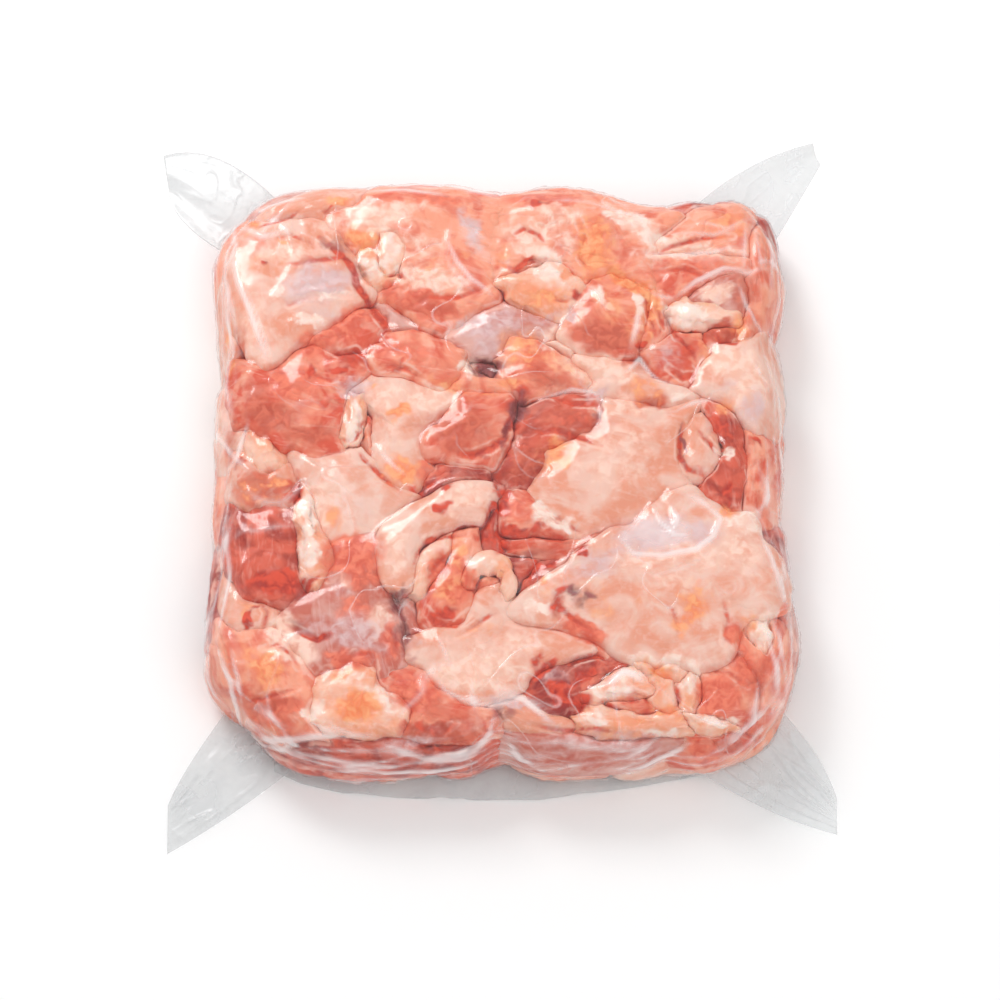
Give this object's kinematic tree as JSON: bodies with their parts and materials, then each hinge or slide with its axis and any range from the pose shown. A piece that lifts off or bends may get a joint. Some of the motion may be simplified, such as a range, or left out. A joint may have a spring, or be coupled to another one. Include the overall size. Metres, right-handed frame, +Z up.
{
  "type": "vacuum pack of raw chicken pieces",
  "caption": "Clear vacuum pack of raw boneless chicken pieces pressed into a flat rounded block, with a film ear at each corner and a flap along the front.",
  "frame": {"origin": "middle of the pack's outline, on the surface it lies on", "axes": "+Z up out of the side that shows, +Y towards the back edge, +X to the right as seen from the front edge with the flap"},
  "size_m": [0.2834, 0.316, 0.04],
  "materials": {
    "pack": "raw pink chicken seen through clear glossy film drawn tight by vacuum"
  },
  "bodies": {
    "root": {"vacuum_pack": "pack"}
  },
  "joints": []
}
